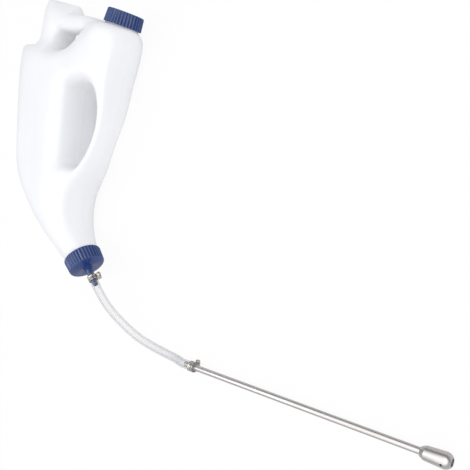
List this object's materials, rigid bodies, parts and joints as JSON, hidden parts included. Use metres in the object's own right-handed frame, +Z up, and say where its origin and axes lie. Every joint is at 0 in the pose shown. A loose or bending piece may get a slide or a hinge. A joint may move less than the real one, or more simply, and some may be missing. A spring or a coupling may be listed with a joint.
{
  "type": "drenching bottle",
  "caption": "Translucent plastic drenching bottle with grip openings, screw caps at both ends, and a clear hose clamped to a straight steel dosing probe.",
  "frame": {"origin": "on the bottle's flat resting side, in the middle of its body, beside the grip opening", "axes": "+Z up from the resting side, +Y up the bottle towards its filler cap, +X towards the side where the hose and probe lie"},
  "size_m": [0.7856, 0.7133, 0.1],
  "materials": {
    "bottle_plastic": "satin",
    "cap_plastic": "satin",
    "nozzle_plastic": "satin",
    "seal_foam": "matte",
    "hose_plastic": "gloss",
    "clamp_steel": "satin",
    "probe_steel": "polished"
  },
  "bodies": {
    "bottle": {"bottle": "bottle_plastic"},
    "filler_seal": {"filler_seal": "seal_foam"},
    "filler_cap": {"filler_cap": "cap_plastic"},
    "outlet_nozzle": {"outlet_nozzle": "nozzle_plastic", "outlet_seal": "seal_foam", "hose": "hose_plastic", "upper_clamp_band": "clamp_steel", "upper_clamp_housing": "clamp_steel"},
    "outlet_cap": {"outlet_cap": "cap_plastic"},
    "upper_clamp_screw": {"upper_clamp_screw": "clamp_steel"},
    "probe": {"probe_tube": "probe_steel", "probe_tip": "probe_steel", "lower_clamp_band": "clamp_steel", "lower_clamp_housing": "clamp_steel"},
    "lower_clamp_screw": {"lower_clamp_screw": "clamp_steel"}
  },
  "joints": [
    {"name": "filler_cap_lift", "type": "slide", "parent": "bottle", "child": "filler_seal", "axis": [0.3827, 0.9239, 0], "range_m": [0, 0.0196]},
    {"name": "filler_cap_turn", "type": "hinge", "parent": "filler_seal", "child": "filler_cap", "pos_m": [0.1402, 0.1705, 0.05], "axis": [0.3827, 0.9239, 0], "range_deg": [0, 1170]},
    {"name": "outlet_draw_off", "type": "slide", "parent": "bottle", "child": "outlet_nozzle", "axis": [0.6088, -0.7934, 0], "range_m": [0, 0.0196]},
    {"name": "outlet_cap_turn", "type": "hinge", "parent": "outlet_nozzle", "child": "outlet_cap", "pos_m": [0.062, -0.2132, 0.05], "axis": [0.6088, -0.7934, 0], "range_deg": [0, 1170]},
    {"name": "upper_clamp_screw_turn", "type": "hinge", "parent": "outlet_nozzle", "child": "upper_clamp_screw", "pos_m": [0.09816, -0.24697, 0.04187], "axis": [0.561, 0.4305, 0.7071], "continuous": true},
    {"name": "probe_swing", "type": "hinge", "parent": "outlet_nozzle", "child": "probe", "pos_m": [0.1693, -0.3457, 0.0168], "axis": [0, 0, 1], "range_deg": [-45, 45], "stiffness_Nm_per_rad": 0.05, "deforming": ["hose"]},
    {"name": "lower_clamp_screw_turn", "type": "hinge", "parent": "probe", "child": "lower_clamp_screw", "pos_m": [0.28929, -0.38153, 0.00398], "axis": [0.1668, 0.986, 0], "continuous": true}
  ],
  "couplings": [
    {"joint": "filler_cap_lift", "follows": "filler_cap_turn", "m_per_rad": 0.00095493},
    {"joint": "outlet_draw_off", "follows": "outlet_cap_turn", "m_per_rad": 0.00095493}
  ]
}
